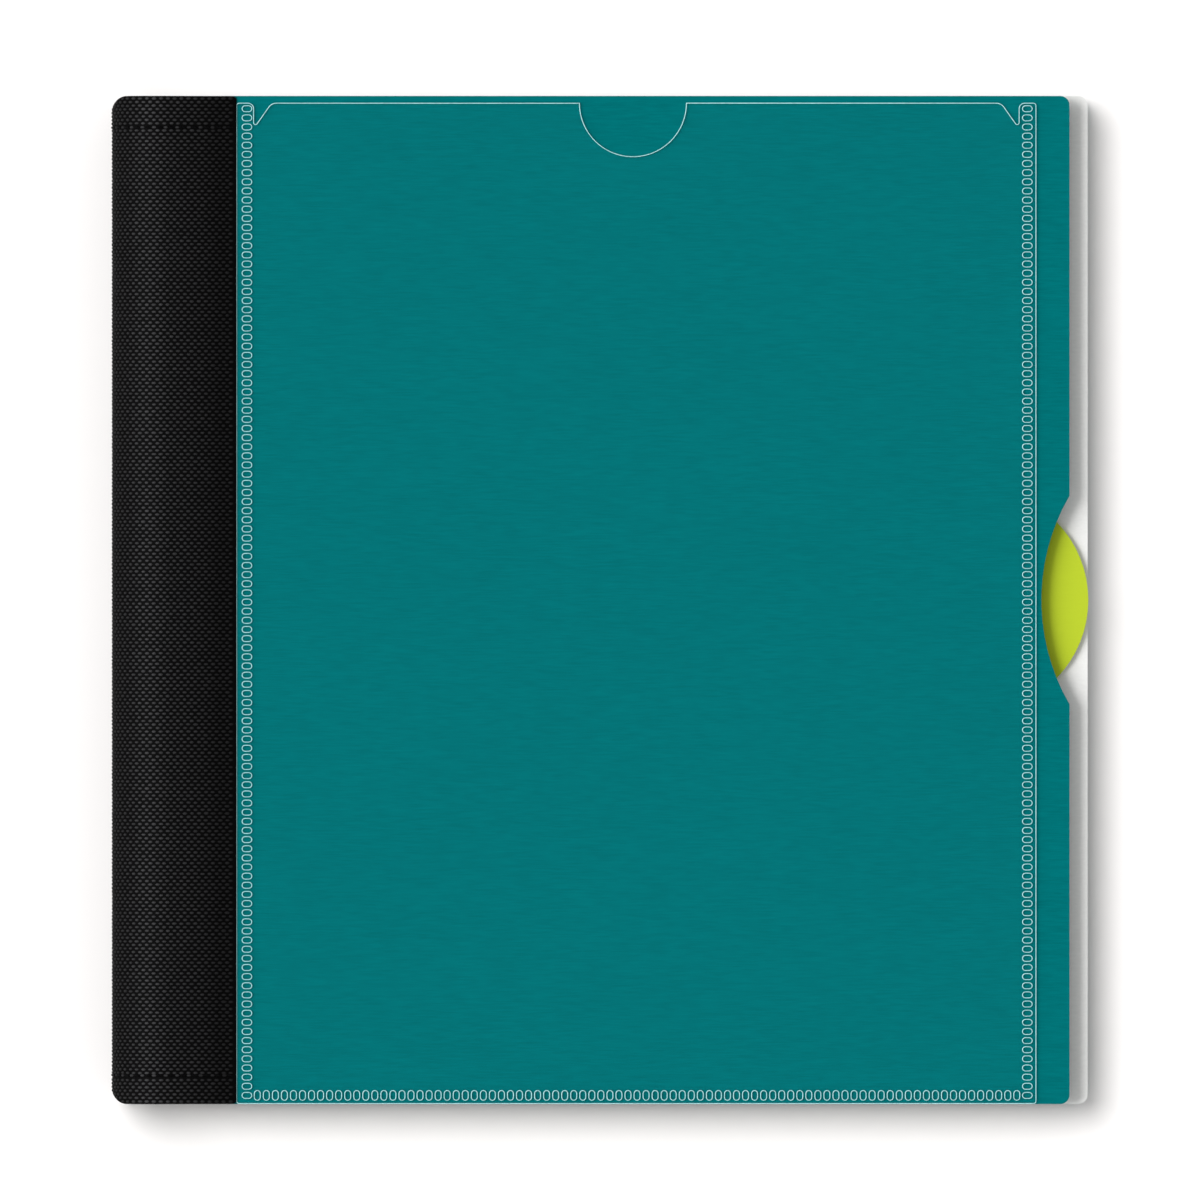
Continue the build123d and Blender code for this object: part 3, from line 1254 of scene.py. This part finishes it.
@dataclass
class StockLeaves:
    """White cards with clear strips on both sides, each strip welded along its tail edge and ends."""

    finishes: Finishes
    strip_height: float = 30.0 * MM
    strip_pitch: float = 34.5 * MM
    film_depth: float = 0.17 * MM
    seam_width: float = 0.9 * MM
    seam_rise: float = 0.05 * MM
    seam_foot: float = 0.1 * MM

    def names(self) -> list[str]:
        """The leaves' bodies, front to back."""
        return sorted(body for body in frame["bodies"] if body.startswith("leaf_"))

    def page(self, leaf: str, side: Side) -> tuple[float, float, float, list[float]]:
        """Where the strips of one page lie.

        Args:
            leaf: The leaf's body.
            side: Its front or its back page.

        Returns:
            The strips' left and right X, the Z of their outer face, and the Y of each tail edge.
        """
        low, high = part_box(f"{leaf}_{side.word}_strips")
        rows = round((high.y - low.y - self.strip_height) / self.strip_pitch) + 1
        face = high.z if side is Side.FRONT else low.z
        return low.x, high.x, face, [low.y + row * self.strip_pitch for row in range(rows)]

    def strips(self, leaf: str, side: Side) -> bpy.types.Object:
        """The clear strips of one page, a hair off the card.

        Args:
            leaf: The leaf's body.
            side: Its front or its back page.

        Returns:
            The piece.
        """
        left, right, face, tails = self.page(leaf, side)
        depths = sorted([face, face - side.value * self.film_depth])
        parts = [slab(self.bar(left, y, right, y + self.strip_height), *depths) for y in tails]
        points, faces = join(parts)
        return add_mesh(f"{leaf}_{side.word}_film", points, faces, self.finishes.strip, smooth=False)

    def seams(self, leaf: str, side: Side) -> bpy.types.Object:
        """The weld lines of one page's strips, along their tail edges and both ends.

        Args:
            leaf: The leaf's body.
            side: Its front or its back page.

        Returns:
            The piece.
        """
        left, right, face, tails = self.page(leaf, side)
        foot, crest = face - side.value * self.seam_foot, face + side.value * self.seam_rise
        width = self.seam_width
        parts = []
        for tail in tails:
            head = tail + self.strip_height
            bars = [
                (left, tail, right, tail + width),
                (left, tail + width, left + width, head),
                (right - width, tail + width, right, head),
            ]
            for corners in bars:
                path = self.bar(*corners, inset=width / 4)
                points, faces = ribbon(path, width / 4, foot, crest)
                parts.append((points, faces if side is Side.FRONT else [f[::-1] for f in faces]))
        return add_mesh(f"{leaf}_{side.word}_strip_seams", *join(parts), self.finishes.strip_seam)

    def bar(self, x0: float, y0: float, x1: float, y1: float, inset: float = 0.0) -> Points:
        """A rectangle's corners, anticlockwise.

        Args:
            x0: Its least X.
            y0: Its least Y.
            x1: Its greatest X.
            y1: Its greatest Y.
            inset: How far inside that the corners lie.

        Returns:
            The corners.
        """
        low_x, low_y, high_x, high_y = x0 + inset, y0 + inset, x1 - inset, y1 - inset
        return np.array([(low_x, low_y), (high_x, low_y), (high_x, high_y), (low_x, high_y)])

    def build(self) -> None:
        """Dresses every leaf and adds its strips and their seams."""
        for leaf in self.names():
            dress(f"{leaf}_card", self.finishes.card)
            for side in Side:
                film, seams = self.strips(leaf, side), self.seams(leaf, side)
                for piece in (film, seams):
                    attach(piece, leaf)
                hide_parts(f"{leaf}_{side.word}_strips")
            LOG.info("%s dressed", leaf)


@dataclass
class BindingWire:
    """The twin-loop wire inside the sleeve."""

    finishes: Finishes

    def build(self) -> None:
        """Dresses the wire."""
        dress("binding_wire", self.finishes.wire)
        LOG.info("binding_wire dressed")


# ---------------------------------------------------------------------------------------------
# Studio


@dataclass
class Studio:
    """A pale floor, soft light and a camera straight above the album."""

    finishes: Finishes
    view_width: float = 347.6 * MM
    lens: float = 1000.0
    sensor: float = 36.0
    sight: float = 50.0
    floor_size: float = 12.0
    floor_key: float = 2.49
    floor_key_spread: float = math.radians(34)
    floor_key_from: Direction = (-0.37, 0.29, 1.0)
    album_key: float = 4.75
    album_key_spread: float = math.radians(48)
    album_key_from: Direction = (-1.9, 0.35, 1.0)
    fill_strength: float = 0.9
    overhead: list[tuple[float, float]] = field(
        default_factory=lambda: [(0.0, 1.0), (0.72, 1.0), (0.9, 0.1), (1.0, 0.03)]
    )

    def camera(self) -> None:
        """Places the camera over the middle of the album, with the head up in the view."""
        data = bpy.data.cameras.new("camera")
        data.lens, data.sensor_width = self.lens, self.sensor
        data.clip_end = self.sight
        camera = bpy.data.objects.new("camera", data)
        distance = self.view_width / self.sensor * self.lens
        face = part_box("front_cover")[1].z
        camera.location = (0.0, 0.0, face + distance)
        bpy.context.scene.collection.objects.link(camera)
        bpy.context.scene.camera = camera

    def floor(self) -> bpy.types.Object:
        """Lays the floor just under the album."""
        half = self.floor_size / 2
        corners = np.array([(-half, -half, 0.0), (half, -half, 0.0), (half, half, 0.0), (-half, half, 0.0)])
        floor = add_mesh("floor", corners, [(0, 1, 2, 3)], self.finishes.paper)
        return floor

    def key_light(
        self,
        name: str,
        strength: float,
        spread: float,
        source: Direction,
        floor: bpy.types.Object,
        state: str,
    ) -> None:
        """A soft key for the floor or for the album.

        Args:
            name: The light's name.
            strength: Its strength.
            spread: The angle that its face fills.
            source: Where it stands, seen from the album.
            floor: The floor.
            state: INCLUDE to light only the floor, EXCLUDE to light all but the floor.
        """
        light = bpy.data.lights.new(name, "SUN")
        light.energy, light.angle = strength, spread
        lamp = bpy.data.objects.new(name, light)
        lamp.rotation_euler = Vector(source).to_track_quat("Z", "Y").to_euler()
        bpy.context.scene.collection.objects.link(lamp)
        lit = bpy.data.collections.new(f"{name}_lights")
        lit.objects.link(floor)
        lit.collection_objects[0].light_linking.link_state = state
        lamp.light_linking.receiver_collection = lit
        lamp.visible_glossy = False

    def fill_light(self) -> None:
        """White surroundings with a dark flag straight overhead."""
        world = bpy.data.worlds.new("surroundings")
        world.use_nodes = True
        nodes, links = world.node_tree.nodes, world.node_tree.links
        place = nodes.new("ShaderNodeTexCoord")
        split = nodes.new("ShaderNodeSeparateXYZ")
        ramp = nodes.new("ShaderNodeValToRGB")
        links.new(place.outputs["Generated"], split.inputs[0])
        links.new(split.outputs["Z"], ramp.inputs[0])
        while len(ramp.color_ramp.elements) < len(self.overhead):
            ramp.color_ramp.elements.new(0.5)
        for element, (position, level) in zip(ramp.color_ramp.elements, self.overhead):
            element.position = position
            element.color = (level, level, level, 1.0)
        background = nodes["Background"]
        links.new(ramp.outputs["Color"], background.inputs["Color"])
        background.inputs["Strength"].default_value = self.fill_strength
        bpy.context.scene.world = world

    def build(self) -> None:
        """Makes the whole studio."""
        bpy.context.scene.view_settings.view_transform = "Standard"
        self.camera()
        floor = self.floor()
        self.key_light(
            "floor_key", self.floor_key, self.floor_key_spread, self.floor_key_from, floor, "INCLUDE"
        )
        self.key_light(
            "album_key", self.album_key, self.album_key_spread, self.album_key_from, floor, "EXCLUDE"
        )
        self.fill_light()
        LOG.info("studio ready")


def main() -> None:
    """Builds the album's looks in order."""
    logging.basicConfig(level=logging.INFO, format="%(name)s: %(message)s")
    finishes = Finishes()
    for part in (Studio, Covers, ClearPocket, IndexDivider, StockLeaves, BindingWire, SpineSleeve):
        part(finishes).build()


if __name__ == "__main__":
    main()
